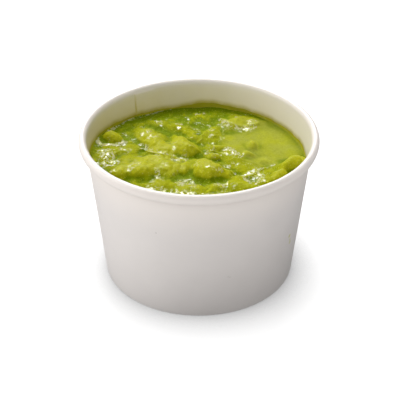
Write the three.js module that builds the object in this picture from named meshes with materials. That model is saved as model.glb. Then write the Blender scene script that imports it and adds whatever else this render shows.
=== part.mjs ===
// A white paper take-away pot filled with mushy peas, a little below its rolled rim.
//
// Units are millimetres, +Z is up, and the origin is the middle of the ring that the pot stands on.
// +X is to the right and +Y is away from somebody who looks into the pot from the front.
//
// Three pieces, each one closed solid:
//   pot_wall     the side wall of paper board: its lapped side seam, rolled rim and folded bottom hem
//   pot_bottom   the recessed disc, with the skirt that the hem holds
//   mushy_peas   the filling: crushed peas in a thick mash, with whole and half peas standing out

import * as THREE from 'three';

// ---------------------------------------------------------------- driving dimensions
const RIM_DIAMETER = 91.5;   // over the rolled rim
const BASE_DIAMETER = 74;    // over the foot
const HEIGHT = 59;
const ROLL_WIDTH = 3.0;      // the rolled rim is an oval,
const ROLL_HEIGHT = 4.1;     // taller than it is wide
const BOARD = 0.45;          // thickness of the paper board
const GAP = 0.3;             // clearance between pieces that touch in the real pot
const RECESS = 5.5;          // how far the underside of the bottom disc stands above the table
const SEAM_EDGE = 127;       // degrees from +X: the raw edge of the lap inside the pot
const SEAM_LAP = 7;          // width of the lap, measured round the wall
const SEAM_STEP = 0.25;      // how far the lap stands out on each side of the wall
const LEVEL = 46.7;          // height of the mash where it lies flat

// How finely the round shapes are divided.
const SIDES = 80;            // flats round the pot
const ROLL_STEPS = 10;       // flats round the outside of the rolled rim
const CURL_STEPS = 6;        // flats round the inside of the roll
const FILLING_CELLS = 60;    // cells across the top of the filling

// ---------------------------------------------------------------- values worked out from them
const degrees = Math.PI / 180;
const rollHalf = { r: ROLL_WIDTH / 2, z: ROLL_HEIGHT / 2 };
const rollMiddle = { r: RIM_DIAMETER / 2 - rollHalf.r, z: HEIGHT - rollHalf.z };
const innerFoot = BASE_DIAMETER / 2 - BOARD;
const slope = (rollMiddle.r - rollHalf.r - innerFoot) / rollMiddle.z;
const inner = (z) => innerFoot + slope * z;      // radius of the wall's inner face
const outer = (z) => inner(z) + BOARD;           // radius of its outer face
const skirtOutside = (z) => inner(z) - GAP;      // the bottom's skirt lies inside the wall,
const skirtInside = (z) => skirtOutside(z) - BOARD;
const hemOutside = (z) => skirtInside(z) - GAP;  // and the wall's hem is folded up inside the skirt
const hemInside = (z) => hemOutside(z) - BOARD;
const discTop = RECESS + BOARD;
const hemTop = RECESS - GAP;
const fold = BOARD;                              // rounding of the fold that the pot stands on

function smoothstep(from, to, value) {
  const t = Math.min(1, Math.max(0, (value - from) / (to - from)));
  return t * t * (3 - 2 * t);
}

// A maximum of two heights with a soft hollow of the given width where they cross.
function softMaximum(a, b, width) {
  const h = Math.max(width - Math.abs(a - b), 0) / width;
  return Math.max(a, b) + h * h * width / 4;
}

// ---------------------------------------------------------------- the side seam
// The board is lapped over itself. Inside the pot the lap ends in a sharp edge at SEAM_EDGE and fades
// into the wall on its other side; outside it is the other way round.
const seamStart = SEAM_EDGE - SEAM_LAP / inner(HEIGHT / 2) / degrees;
const seamRamp = 3;          // degrees over which the lap fades into the plain wall
const seamCut = 0.3;         // degrees over which its raw edge drops

function lapInside(angle) {
  return smoothstep(seamStart - seamRamp, seamStart, angle) *
         (1 - smoothstep(SEAM_EDGE, SEAM_EDGE + seamCut, angle));
}

function lapOutside(angle) {
  return smoothstep(seamStart - seamCut, seamStart, angle) *
         (1 - smoothstep(SEAM_EDGE, SEAM_EDGE + seamRamp, angle));
}

// The angles of the wall's columns: even steps, with a column on each edge of the lap.
function wallAngles() {
  const edges = [seamStart - seamRamp, seamStart - seamCut, seamStart,
    SEAM_EDGE, SEAM_EDGE + seamCut, SEAM_EDGE + seamRamp];
  const nearest = 1.2;       // degrees: an even column this close to an edge gives way to it
  const even = Array.from({ length: SIDES }, (_, i) => i * 360 / SIDES);
  const kept = even.filter((a) => edges.every((edge) => Math.abs(a - edge) > nearest));
  return [...kept, ...edges].sort((a, b) => a - b);
}

// ---------------------------------------------------------------- building closed rings
// Carries a closed outline of [radius, height] points round the Z axis. The outline may change with
// the angle. Its points run clockwise, seen with the radius to the right and the height upwards.
function ringSolid(outlineAt, angles) {
  const loops = angles.map((angle) => outlineAt(angle));
  const count = loops[0].length;
  const positions = [];
  loops.forEach((loop, i) => {
    const cos = Math.cos(angles[i] * degrees);
    const sin = Math.sin(angles[i] * degrees);
    loop.forEach(([r, z]) => positions.push(r * cos, r * sin, z));
  });
  const faces = [];
  for (let i = 0; i < angles.length; i++) {
    const next = (i + 1) % angles.length;
    for (let j = 0; j < count; j++) {
      const k = (j + 1) % count;
      const [a, b, c, d] = [i * count + j, i * count + k, next * count + k, next * count + j];
      faces.push(a, b, c, a, c, d);
    }
  }
  return solidFrom(positions, faces);
}

function solidFrom(positions, faces) {
  const geometry = new THREE.BufferGeometry();
  geometry.setAttribute('position', new THREE.Float32BufferAttribute(positions, 3));
  geometry.setIndex(faces);
  geometry.computeVertexNormals();
  return geometry;
}

// ---------------------------------------------------------------- side wall
// One strip of board: up from the fold that the pot stands on, over and round into the open roll of
// the rim, and at the bottom turned in and up as the hem.
const curlEnd = -115;        // degrees: the roll's free edge stops just short of the wall
const lapReach = [4, 9];     // heights over which the lap comes out of the pressed hem

// Points on the roll's oval section, or on one that lies a little inside it.
function rollArc(inset, from, to, steps, outward) {
  const half = { r: rollHalf.r - inset, z: rollHalf.z - inset };
  return Array.from({ length: steps + 1 }, (_, i) => {
    const angle = (from + (to - from) * i / steps) * degrees;
    const push = outward * Math.max(0, Math.cos(angle));
    return [rollMiddle.r + half.r * Math.cos(angle) + push, rollMiddle.z + half.z * Math.sin(angle)];
  });
}

function wallOutline(angle) {
  const stepIn = SEAM_STEP * lapInside(angle);
  const stepOut = SEAM_STEP * lapOutside(angle);
  const [lapBottom, lapFull] = lapReach;
  const throat = [rollMiddle.r - rollHalf.r - stepIn, rollMiddle.z];
  const overRoll = rollArc(0, 180, curlEnd, ROLL_STEPS, stepOut);
  const underRoll = rollArc(BOARD, curlEnd, 180, CURL_STEPS, stepOut);
  underRoll[CURL_STEPS][0] += stepOut;
  return [
    [hemInside(0) + fold, 0],
    [hemInside(fold), fold],
    [hemInside(hemTop), hemTop],
    [hemOutside(hemTop), hemTop],
    [hemOutside(BOARD), BOARD],
    [inner(BOARD), BOARD],
    [inner(lapBottom), lapBottom],
    [inner(lapFull) - stepIn, lapFull],
    throat,
    ...overRoll.slice(1),
    ...underRoll,
    [outer(lapFull) + stepOut, lapFull],
    [outer(fold), fold],
    [outer(0) - fold, 0],
  ];
}

const wallGeometry = ringSolid(wallOutline, wallAngles());

// ---------------------------------------------------------------- bottom
// A disc whose edge is turned down into a skirt, held in the hem.
const skirtFoot = BOARD + GAP;
const bottomOutline = [
  [0, RECESS],
  [skirtInside(RECESS), RECESS],
  [skirtInside(skirtFoot), skirtFoot],
  [skirtOutside(skirtFoot), skirtFoot],
  [skirtOutside(discTop - fold), discTop - fold],
  [skirtOutside(discTop) - fold, discTop],
  [0, discTop],
];
const bottomGeometry = new THREE.LatheGeometry(
  bottomOutline.map(([r, z]) => new THREE.Vector2(r, z)), SIDES);
bottomGeometry.rotateX(Math.PI / 2);

// ---------------------------------------------------------------- filling
// Where the mash meets the wall: degrees from +X and height. It is heaped to the left, low on the right.
const MASH_LINE = [
  [0, 44.9], [14, 46.2], [32, 46.5], [60, 46.6], [88, 46.7], [116, 46.7], [135, 47.1],
  [150, 47.9], [161, 48.9], [173, 49.3], [190, 48.7], [210, 47.8], [240, 47.2], [270, 47.4],
  [300, 46.8], [330, 45.8], [360, 44.9],
];

// Broad swells of the mash that the lumps lie on: plan position, half length and half width, degrees
// from +X to the length, and height.
const MOUNDS = [
  { at: [-12, 8], half: [17, 11], turn: -35, rise: 1.3 },
  { at: [-18, -9], half: [16, 8.5], turn: 4, rise: 1 },
  { at: [3, -8], half: [12, 9], turn: 0, rise: 1.2 },
  { at: [33, -6], half: [10, 7], turn: 15, rise: 2 },
  { at: [15, 28], half: [12, 8], turn: -8, rise: 0.6 },
  { at: [-2, -28], half: [22, 10], turn: 0, rise: 1 },
];

// Whole and half-crushed peas and folds of mash that stand out of the surface:
//   at    plan position
//   half  half its length, half its width, and its height above its foot
//   turn  degrees from +X to its length
//   soft  how softly its near side ends: 0.5 is a ball, 1 a low dome
//   lean  how many times longer its far slope is than its near one
const LUMPS = [
  // the pair in the middle, a long fold of crushed peas with a whole pea leaning on it
  { at: [-17.4, 9], half: [10.4, 5.6, 3.5], turn: 117, soft: 0.6, lean: 1.3 },
  { at: [-20.8, 16.2], half: [4.8, 4.2, 2.2], turn: 60, soft: 0.8, lean: 1.4 },
  { at: [-6.4, 5.4], half: [7.2, 5.4, 4.2], turn: -26, soft: 0.55, lean: 1.8 },
  { at: [-11.8, 4], half: [5, 3.6, 2.8], turn: -50, soft: 0.6, lean: 1.6 },
  // front left: a broad mass of crushed peas with a pea under its front
  { at: [-19, -8.2], half: [12.6, 6.2, 2.4], turn: 6, soft: 0.65, lean: 2 },
  { at: [-21, -11.4], half: [4.2, 3.4, 3], turn: 0, soft: 0.55, lean: 1.8 },
  { at: [-30, -12.2], half: [3.8, 2.8, 2.6], turn: 25, soft: 0.6, lean: 1.6 },
  { at: [-28.6, -4], half: [5.4, 2.6, 1.4], turn: 62, soft: 0.9, lean: 1.2 },
  { at: [-12, -9.6], half: [5, 3.4, 1.4], turn: -30, soft: 0.9, lean: 1.6 },
  // front middle: a whole pea with broken halves beside it
  { at: [3.4, -10.2], half: [6.2, 5.4, 3.9], turn: -14, soft: 0.5, lean: 1.6 },
  { at: [-5.6, -8], half: [6.8, 3.6, 2.2], turn: 24, soft: 0.7, lean: 1.8 },
  { at: [9.8, -12.6], half: [2.6, 2.2, 2.3], turn: 30, soft: 0.6, lean: 1.4 },
  { at: [11.6, -17.4], half: [2.8, 2.4, 1.2], turn: 0, soft: 0.8, lean: 1.2 },
  // middle: a small pea, a rolled skin above it and a skin that lies flat
  { at: [6, 0.8], half: [2.9, 2.7, 2.5], turn: 0, soft: 0.5, lean: 1.1 },
  { at: [7.6, 7.2], half: [4.6, 1.9, 2], turn: 3, soft: 0.6, lean: 1.5 },
  { at: [13.6, 4], half: [4.4, 4.6, 1.1], turn: 20, soft: 1.2, lean: 1.3 },
  { at: [15.8, -6], half: [7.2, 4.8, 1], turn: -12, soft: 1, lean: 1.4 },
  // right: a curled piece against the wall, and crumbs in the smooth mash
  { at: [30.4, -10.4], half: [5.2, 2.3, 2.4], turn: 62, soft: 0.6, lean: 1.3 },
  { at: [35, -5.2], half: [6.2, 2.6, 3.6], turn: 22, soft: 0.5, lean: 1.8 },
  { at: [20.8, 11.2], half: [3.2, 1.7, 2.2], turn: 96, soft: 0.55, lean: 1.2 },
  { at: [19.6, 4.2], half: [2.6, 1.8, 1.9], turn: -30, soft: 0.6, lean: 1.3 },
  { at: [25.6, -1], half: [4.6, 2.2, 1.4], turn: -12, soft: 0.8, lean: 1.5 },
  // back: a half-sunk pea at each side and low swells between them
  { at: [15, 28.6], half: [6.8, 4.2, 1.5], turn: -10, soft: 0.8, lean: 1.4 },
  { at: [21.4, 25.6], half: [3.6, 2.6, 1], turn: 40, soft: 1, lean: 1.3 },
  { at: [-33.8, 12.2], half: [4, 3.6, 3], turn: 0, soft: 0.5, lean: 1.3 },
  { at: [4.8, 19.4], half: [4.4, 2.8, 1.2], turn: 70, soft: 1, lean: 1.6 },
  { at: [-1.8, 16.6], half: [4.2, 2.6, 1.1], turn: -40, soft: 1, lean: 1.6 },
  { at: [-8.4, 24.6], half: [6, 3, 0.9], turn: -20, soft: 1.2, lean: 1.6 },
  { at: [-17, 27.6], half: [5.4, 2.8, 0.9], turn: 15, soft: 1.2, lean: 1.6 },
  { at: [0.6, 34.6], half: [5, 2.2, 0.7], turn: -8, soft: 1.5, lean: 1.3 },
  { at: [-27.4, 6.2], half: [5.4, 3.4, 1.1], turn: 25, soft: 1, lean: 1.5 },
  { at: [-35.4, 0.6], half: [4.4, 3.2, 1], turn: 80, soft: 1, lean: 1.3 },
  // front, behind the near rim
  { at: [-13.8, -19], half: [4.6, 3.4, 1.5], turn: 20, soft: 0.9, lean: 1.5 },
  { at: [16.4, -19.4], half: [5.2, 3.6, 1.3], turn: -20, soft: 0.9, lean: 1.5 },
  { at: [24.6, -14.6], half: [4.8, 3.2, 1.4], turn: 40, soft: 0.9, lean: 1.5 },
  { at: [-3.4, -21.8], half: [6.4, 3.8, 1.3], turn: 10, soft: 0.9, lean: 1.5 },
  { at: [5.6, -21], half: [3.6, 2.8, 1.2], turn: -30, soft: 0.9, lean: 1.4 },
  { at: [-24.8, -24.4], half: [5, 4, 2.4], turn: -35, soft: 0.7, lean: 1.4 },
  { at: [6.6, -32.4], half: [5, 4.2, 2.6], turn: 15, soft: 0.7, lean: 1.4 },
  { at: [-10.6, -33.2], half: [4.4, 3.6, 1.8], turn: -10, soft: 0.8, lean: 1.4 },
  { at: [22.2, -27.8], half: [4.6, 3.8, 2.2], turn: 50, soft: 0.7, lean: 1.4 },
];
const BACK = 1.5;            // softness of every lump's far side, which runs out into the mash
const OUTSIDE = 2.4;         // how fast a lump's height drops outside its foot
const HOLLOW = 2.0;          // width of the soft hollow where a lump meets the mash
const UNEVEN = [0.08, 0.05]; // how far an outline departs from an oval, twice and three times round

// The smooth, runnier mash at the back right has no crumbs in it.
const smoothMash = { at: [27, 14], reach: [9, 19] };

function angleOf(x, y) {
  return (Math.atan2(y, x) / degrees + 360) % 360;
}

function edgeLevel(angle) {
  const next = MASH_LINE.findIndex(([where]) => where > angle);
  const [[a, low], [b, high]] = [MASH_LINE[next - 1], MASH_LINE[next]];
  return low + (high - low) * (angle - a) / (b - a);
}

// A plan position seen from a shape's middle, along and across its length.
function seenFrom({ at, turn }, x, y) {
  const [cos, sin] = [Math.cos(turn * degrees), Math.sin(turn * degrees)];
  const [dx, dy] = [x - at[0], y - at[1]];
  return [dx * cos + dy * sin, dy * cos - dx * sin];
}

// Height of the mash without its lumps: LEVEL in the middle and the edge's height at the wall.
function plainLevel(x, y) {
  const reach = Math.hypot(x, y) / inner(LEVEL);
  const swell = 0.3 * Math.sin(0.16 * x + 0.5) * Math.cos(0.13 * y - 0.4) * (1 - reach ** 4);
  let level = LEVEL + (edgeLevel(angleOf(x, y)) - LEVEL) * reach ** 2 + swell;
  for (const mound of MOUNDS) {
    const [u, v] = seenFrom(mound, x, y);
    const away = Math.min(Math.hypot(u / mound.half[0], v / mound.half[1]), 1);
    level += mound.rise * Math.cos(away * Math.PI / 2) ** 2;
  }
  return level;
}

// Crumbs: low bumps from three crossing waves, none in the smooth mash.
function crumbs(x, y) {
  const [near, far] = smoothMash.reach;
  const rough = smoothstep(near, far, Math.hypot(x - smoothMash.at[0], y - smoothMash.at[1]));
  const waves = Math.sin(1.15 * x + 0.55 * y + 1.0) + Math.sin(-0.50 * x + 1.25 * y + 2.1) +
                Math.sin(0.85 * x - 0.95 * y + 0.4);
  return 0.16 * rough * waves;
}

// Height that a lump gives to a place: its own height times (1 - d squared) to the power of its
// softness, where d is 1 at its foot. Two waves round the lump make its outline uneven.
function raise(lump, number, x, y) {
  const [length, width, height] = lump.half;
  const dy = y - lump.at[1];
  const away = dy / Math.max(Math.hypot(x - lump.at[0], dy), 0.01);
  const soft = lump.soft + (BACK - lump.soft) * smoothstep(-0.6, 1.0, away);
  const [along, across] = seenFrom(lump, x, lump.at[1] + (dy > 0 ? dy / lump.lean : dy));
  const [u, v] = [along / length, across / width];
  const way = Math.atan2(v, u);
  const outline = 1 + UNEVEN[0] * Math.sin(2 * way + 1.7 * number) +
                  UNEVEN[1] * Math.sin(3 * way + 2.9 * number);
  const d = Math.hypot(u, v) / outline;
  return height * (Math.max(1 - d * d, 0) ** soft - OUTSIDE * Math.max(d - 1, 0));
}

function fillingTop(x, y) {
  const mash = plainLevel(x, y) + crumbs(x, y);
  let top = mash;
  LUMPS.forEach((lump, number) => {
    // a soft lump follows the mash it lies in, a firm one stands on its own level foot
    const follow = smoothstep(0.6, 1.2, lump.soft);
    const foot = plainLevel(...lump.at) * (1 - follow) + mash * follow;
    top = softMaximum(top, foot + raise(lump, number, x, y), HOLLOW);
  });
  return top;
}

// Spreads the square from -1 to 1 over the unit disc, ring by ring.
function squareToDisc(a, b) {
  if (a === 0 && b === 0) return [0, 0];
  const wide = Math.abs(a) > Math.abs(b);
  const radius = wide ? a : b;
  const angle = wide ? Math.PI / 4 * b / a : Math.PI / 2 - Math.PI / 4 * a / b;
  return [radius * Math.cos(angle), radius * Math.sin(angle)];
}

// The filling's side follows the wall, the lap of the seam included.
function fillingRadius(z, angle) {
  return inner(z) - GAP - SEAM_STEP * lapInside(angle);
}

function fillingSolid() {
  const cells = FILLING_CELLS;
  const across = fillingRadius(LEVEL, 0);
  const edgeOnly = 8;        // power that keeps the fit to the wall near the wall
  const positions = [];
  for (let j = 0; j <= cells; j++) {
    for (let i = 0; i <= cells; i++) {
      const [x, y] = squareToDisc(2 * i / cells - 1, 2 * j / cells - 1).map((t) => t * across);
      const z = fillingTop(x, y);
      const reach = Math.hypot(x, y) / across;
      const fit = fillingRadius(z, angleOf(x, y)) / across - 1;
      const spread = 1 + fit * reach ** edgeOnly;
      positions.push(x * spread, y * spread, z);
    }
  }
  const faces = [];
  const top = (i, j) => j * (cells + 1) + i;
  for (let j = 0; j < cells; j++) {
    for (let i = 0; i < cells; i++) {
      const [a, b, c, d] = [top(i, j), top(i + 1, j), top(i + 1, j + 1), top(i, j + 1)];
      // the shorter diagonal, so that no thin triangles bridge a lump's flank
      const height = (n) => positions[3 * n + 2];
      if (Math.abs(height(a) - height(c)) < Math.abs(height(b) - height(d))) faces.push(a, b, c, a, c, d);
      else faces.push(a, b, d, b, c, d);
    }
  }
  // down the side, from the rim of the top to the ring at the bottom, and across the bottom
  const edge = [];
  for (let i = 0; i < cells; i++) edge.push(top(i, 0));
  for (let j = 0; j < cells; j++) edge.push(top(cells, j));
  for (let i = cells; i > 0; i--) edge.push(top(i, cells));
  for (let j = cells; j > 0; j--) edge.push(top(0, j));
  const floor = discTop + GAP;
  const firstLow = positions.length / 3;
  edge.forEach((n) => {
    const angle = Math.atan2(positions[3 * n + 1], positions[3 * n]);
    const radius = fillingRadius(floor, angleOf(positions[3 * n], positions[3 * n + 1]));
    positions.push(radius * Math.cos(angle), radius * Math.sin(angle), floor);
  });
  const middle = positions.length / 3;
  positions.push(0, 0, floor);
  edge.forEach((n, k) => {
    const next = (k + 1) % edge.length;
    faces.push(n, firstLow + k, firstLow + next, n, firstLow + next, edge[next]);
    faces.push(firstLow + k, middle, firstLow + next);
  });
  return solidFrom(positions, faces);
}

// ---------------------------------------------------------------- the pot
const whiteBoard = new THREE.MeshStandardMaterial({ color: 0xe9e5e1, roughness: 0.55, metalness: 0 });
const rawBoard = new THREE.MeshStandardMaterial({ color: 0xe2ddd4, roughness: 0.7, metalness: 0 });
const peaMash = new THREE.MeshStandardMaterial({ color: 0x8b9612, roughness: 0.28, metalness: 0 });

const pot = new THREE.Group();
for (const [name, geometry, material] of [
  ['pot_wall', wallGeometry, whiteBoard],
  ['pot_bottom', bottomGeometry, rawBoard],
  ['mushy_peas', fillingSolid(), peaMash],
]) {
  const mesh = new THREE.Mesh(geometry, material);
  mesh.name = name;
  pot.add(mesh);
}

export default pot;
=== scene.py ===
# %% [markdown]
# # A paper pot of mushy peas
#
# The object is a white take-away pot of paper board, 91.5 mm across its rolled rim, filled with green
# mushy peas. This lesson dresses a finished engineering model of it: the solids give the sizes, and
# Blender gives the fine surfaces and their finish.
#
# Everything below is in the model's own frame: +Z is up, the origin is the middle of the ring that the
# pot stands on, and Blender counts in metres. The sizes are easier to read in millimetres, so the
# shapes are worked out in millimetres and turned into metres when a mesh is made.

# %% Load the frame
import math

import bpy
import numpy as np
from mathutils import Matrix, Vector


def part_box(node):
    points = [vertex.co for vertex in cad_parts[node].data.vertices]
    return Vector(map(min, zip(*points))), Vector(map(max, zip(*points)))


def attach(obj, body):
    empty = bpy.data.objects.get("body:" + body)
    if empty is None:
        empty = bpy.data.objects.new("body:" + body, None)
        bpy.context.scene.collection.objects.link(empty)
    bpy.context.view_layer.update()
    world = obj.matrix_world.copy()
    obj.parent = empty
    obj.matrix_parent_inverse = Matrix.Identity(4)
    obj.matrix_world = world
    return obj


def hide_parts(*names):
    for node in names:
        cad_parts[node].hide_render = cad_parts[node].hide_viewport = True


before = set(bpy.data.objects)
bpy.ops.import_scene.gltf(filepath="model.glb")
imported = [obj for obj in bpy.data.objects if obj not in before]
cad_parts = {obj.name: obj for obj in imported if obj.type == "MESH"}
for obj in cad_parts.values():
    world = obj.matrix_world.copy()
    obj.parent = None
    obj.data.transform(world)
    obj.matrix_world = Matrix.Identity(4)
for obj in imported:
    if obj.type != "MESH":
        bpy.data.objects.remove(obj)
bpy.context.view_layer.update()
MM = 0.001
print("solids:", sorted(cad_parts))

# %% [markdown]
# ## The camera
#
# The pot is seen from the front, from a little above, through a long lens, so that the rim is a calm
# ellipse. The lens and the distance were worked out from the rim's and the foot's outlines. The small
# shift puts the pot where it stands in the picture, a hair left of and below the middle.

# %% Camera
scene = bpy.context.scene
FRAME_PIXELS = 400           # the picture is square
FOCAL_PIXELS = 1297.0        # focal length, counted in the picture's pixels
SENSOR_MM = 36.0
AIM = Vector((0.0, 0.0, 28.0)) * MM
DISTANCE = 508.1 * MM
LOOK_DOWN = math.radians(32.88)
SHIFT = (0.0025, 0.0026)     # part of the picture's width

camera_data = bpy.data.cameras.new("camera")
camera_data.sensor_width = SENSOR_MM
camera_data.lens = FOCAL_PIXELS * SENSOR_MM / FRAME_PIXELS
camera_data.shift_x, camera_data.shift_y = SHIFT
camera_data.clip_start = 0.01
camera = bpy.data.objects.new("camera", camera_data)
camera.location = AIM + DISTANCE * Vector((0, -math.cos(LOOK_DOWN), math.sin(LOOK_DOWN)))
camera.rotation_euler = (math.pi / 2 - LOOK_DOWN, 0, 0)
scene.collection.objects.link(camera)
scene.camera = camera
scene.view_settings.view_transform = "Standard"
print("lens", round(camera_data.lens, 1), "mm")

# %% [markdown]
# ## Sizes
#
# The rim's width, the height and the bottom disc come from the solids. The board's thickness, the roll
# and the foot are this pot's own, and the same as the solids have.

# %% Sizes in millimetres
wall_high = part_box("pot_wall")[1]
disc_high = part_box("pot_bottom")[1]
rim_radius = wall_high.x / MM
height = wall_high.z / MM
disc_top = disc_high.z / MM

FOOT_RADIUS = 37.0
ROLL_HALF = (1.5, 2.05)      # half width and half height of the rolled rim, an upright oval
BOARD = 0.45                 # thickness of the paper board
GAP = 0.3                    # how far the solids' pieces stay apart
SEAM_EDGE = 127.0            # degrees from +X: the raw edge of the lap inside the pot
SEAM_LAP = 7.0               # width of the lap, measured round the wall
SEAM_STEP = 0.25             # how far the lap stands out of the wall
LEVEL = 46.7                 # height of the mash where it lies flat

roll_middle = (rim_radius - ROLL_HALF[0], height - ROLL_HALF[1])
inner_foot = FOOT_RADIUS - BOARD
slope = (roll_middle[0] - ROLL_HALF[0] - inner_foot) / roll_middle[1]
recess = disc_top - BOARD


def inner(z):
    """Radius of the wall's inner face at a height: a cone, so a straight line from foot to rim."""
    return inner_foot + slope * z


print("rim", round(2 * rim_radius, 1), "mm, height", round(height, 1), "mm")
print("mouth", round(2 * inner(height), 1), "mm")

# %% [markdown]
# ## Helpers for surfaces
#
# Every new surface here is a grid of points that numpy works out all at once. `smoothstep` fades from 0
# to 1, `soft_maximum` joins two heights and rounds the crease between them, and `grid_faces` and
# `make_piece` turn a grid of points into a mesh of quads. A grid may close on itself in one direction
# or in both. `give_values` stores what a material will need to know about each point.

# %% Helpers for surfaces
def smoothstep(start, stop, value):
    """0 before start, 1 after stop, and 3t^2 - 2t^3 between them."""
    t = np.clip((value - start) / (stop - start), 0, 1)
    return t * t * (3 - 2 * t)


def soft_maximum(a, b, width):
    """The larger of two heights, raised by h^2 * width / 4 where they differ by less than width."""
    h = np.maximum(width - np.abs(a - b), 0) / width
    return np.maximum(a, b) + h * h * width / 4


def grid_faces(rows, columns, close_rows=False, close_columns=False, first=0):
    """Corner numbers of the quads between neighbouring points of a grid, counted row by row."""
    numbers = first + np.arange(rows * columns).reshape(rows, columns)
    if close_rows:
        numbers = np.vstack([numbers, numbers[:1]])
    if close_columns:
        numbers = np.hstack([numbers, numbers[:, :1]])
    corners = [numbers[:-1, :-1], numbers[:-1, 1:], numbers[1:, 1:], numbers[1:, :-1]]
    return np.stack([c.ravel() for c in corners], axis=1)


def make_piece(name, points_mm, quads, triangles=None, sharp_from=None):
    """A mesh object at the origin from points in millimetres, quads and, where needed, triangles."""
    mesh = bpy.data.meshes.new(name)
    triangles = np.zeros((0, 3), int) if triangles is None else triangles
    corners = np.concatenate([quads.ravel(), triangles.ravel()])
    sizes = np.concatenate([np.full(len(quads), 4), np.full(len(triangles), 3)])
    mesh.vertices.add(len(points_mm))
    mesh.vertices.foreach_set("co", (points_mm * MM).astype(np.float32).ravel())
    mesh.loops.add(len(corners))
    mesh.loops.foreach_set("vertex_index", corners.astype(np.int32))
    mesh.polygons.add(len(sizes))
    mesh.polygons.foreach_set("loop_start", (np.cumsum(sizes) - sizes).astype(np.int32))
    mesh.update(calc_edges=True)
    mesh.polygons.foreach_set("use_smooth", np.ones(len(sizes), bool))
    if sharp_from is not None:
        mesh.set_sharp_from_angle(angle=math.radians(sharp_from))
    mesh.validate()
    piece = bpy.data.objects.new(name, mesh)
    scene.collection.objects.link(piece)
    print(name, len(points_mm), "points,", len(quads) * 2 + len(triangles), "triangles")
    return piece


def give_values(piece, name, values):
    """Stores one number for each point, which a material can read as an attribute."""
    attribute = piece.data.attributes.new(name, "FLOAT", "POINT")
    attribute.data.foreach_set("value", values.astype(np.float32).ravel())


# %% [markdown]
# ## Noise
#
# Nothing in a pot of mash is regular. Value noise is the simplest irregular pattern: random numbers
# sit on a square lattice and are blended smoothly between its points. Several sizes on top of each
# other give a natural roughness. The random numbers come from a seed, so each run gives the same pot.

# %% Noise
LATTICE = 64                 # the lattice repeats after this many cells, far outside the pot


def noise(x, y, cell, seed):
    """Value noise from -1 to 1: lattice numbers a cell apart, blended with a smooth curve."""
    table = np.random.default_rng(seed).uniform(-1, 1, (LATTICE, LATTICE))
    gx, gy = x / cell + LATTICE / 2, y / cell + LATTICE / 2
    ix, iy = np.floor(gx).astype(int), np.floor(gy).astype(int)
    fx, fy = smoothstep(0, 1, gx - ix), smoothstep(0, 1, gy - iy)
    near_x, far_x = ix % LATTICE, (ix + 1) % LATTICE
    near_y, far_y = iy % LATTICE, (iy + 1) % LATTICE
    low = table[near_x, near_y] * (1 - fx) + table[far_x, near_y] * fx
    high = table[near_x, far_y] * (1 - fx) + table[far_x, far_y] * fx
    return low * (1 - fy) + high * fy


def rough_noise(x, y, cell, seed, layers=3):
    """Noise on noise: each layer has half the cell and half the strength of the one before."""
    total = sum(noise(x, y, cell / 2 ** k, seed + k) / 2 ** k for k in range(layers))
    return total / (2 - 2 ** (1 - layers))


# %% [markdown]
# ## The side wall
#
# The wall is one strip of board. It starts at the hem inside the foot, folds under, runs up the inside,
# rolls over at the rim and comes back down the outside. So its section is one closed outline, and
# carrying that outline round the axis gives the whole wall. The side seam is the only thing that breaks
# the round: the board laps over itself for 7 mm, with a sharp raw edge inside and another outside.

# %% The lap of the side seam
seam_start = SEAM_EDGE - math.degrees(SEAM_LAP / inner(height / 2))
SEAM_RAMP = 3.0              # degrees over which the lap fades into the plain wall
SEAM_CUT = 0.3               # degrees over which its raw edge drops


def lap_inside(angle):
    """1 on the lap, 0 off it: a slow rise on one side and a sharp drop at the raw edge."""
    return smoothstep(seam_start - SEAM_RAMP, seam_start, angle) * (
        1 - smoothstep(SEAM_EDGE, SEAM_EDGE + SEAM_CUT, angle))


def lap_outside(angle):
    """The same lap seen from outside, where the sharp edge is the other one."""
    return smoothstep(seam_start - SEAM_CUT, seam_start, angle) * (
        1 - smoothstep(SEAM_EDGE, SEAM_EDGE + SEAM_RAMP, angle))


def wall_angles(count):
    """Even steps round the pot, with finer steps over the two raw edges of the lap."""
    even = np.arange(count) * 360 / count
    cuts = np.concatenate([np.linspace(seam_start - SEAM_CUT, seam_start, 4),
                           np.linspace(SEAM_EDGE, SEAM_EDGE + SEAM_CUT, 4)])
    clear = np.abs(even[:, None] - cuts[None, :]).min(axis=1) > 0.1
    return np.sort(np.concatenate([even[clear], cuts]))


# %% The wall's outline, carried round
CURL_END = -115.0            # degrees: the roll's free edge stops just short of the wall
HEM_TOP = recess - GAP
FOLD = 0.45                  # rounding of the fold that the pot stands on
LAP_REACH = (4.0, 9.0)       # heights over which the lap comes out of the pressed hem
WALL_COLUMNS = 400
# how far the wall is out of round: depth in millimetres, waves round the wall, start in radians
OUT_OF_ROUND = [(0.05, 3, 0.6), (0.03, 5, 2.0)]
UNEVEN_FROM = (6, 25)        # heights over which this grows from the stiff foot upwards
UNEVEN_TO = (57, 45)         # and from the stiff rim downwards
ROLL_DENT = 0.05             # how far the roll of the rim is pressed in


def arc(middle, half, start, stop, steps):
    """Points of an oval arc: middle plus half width times cosine and half height times sine."""
    angle = np.radians(np.linspace(start, stop, steps))
    half_width, half_height = np.broadcast_to(half, 2)
    return middle[0] + half_width * np.cos(angle), middle[1] + half_height * np.sin(angle)


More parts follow.
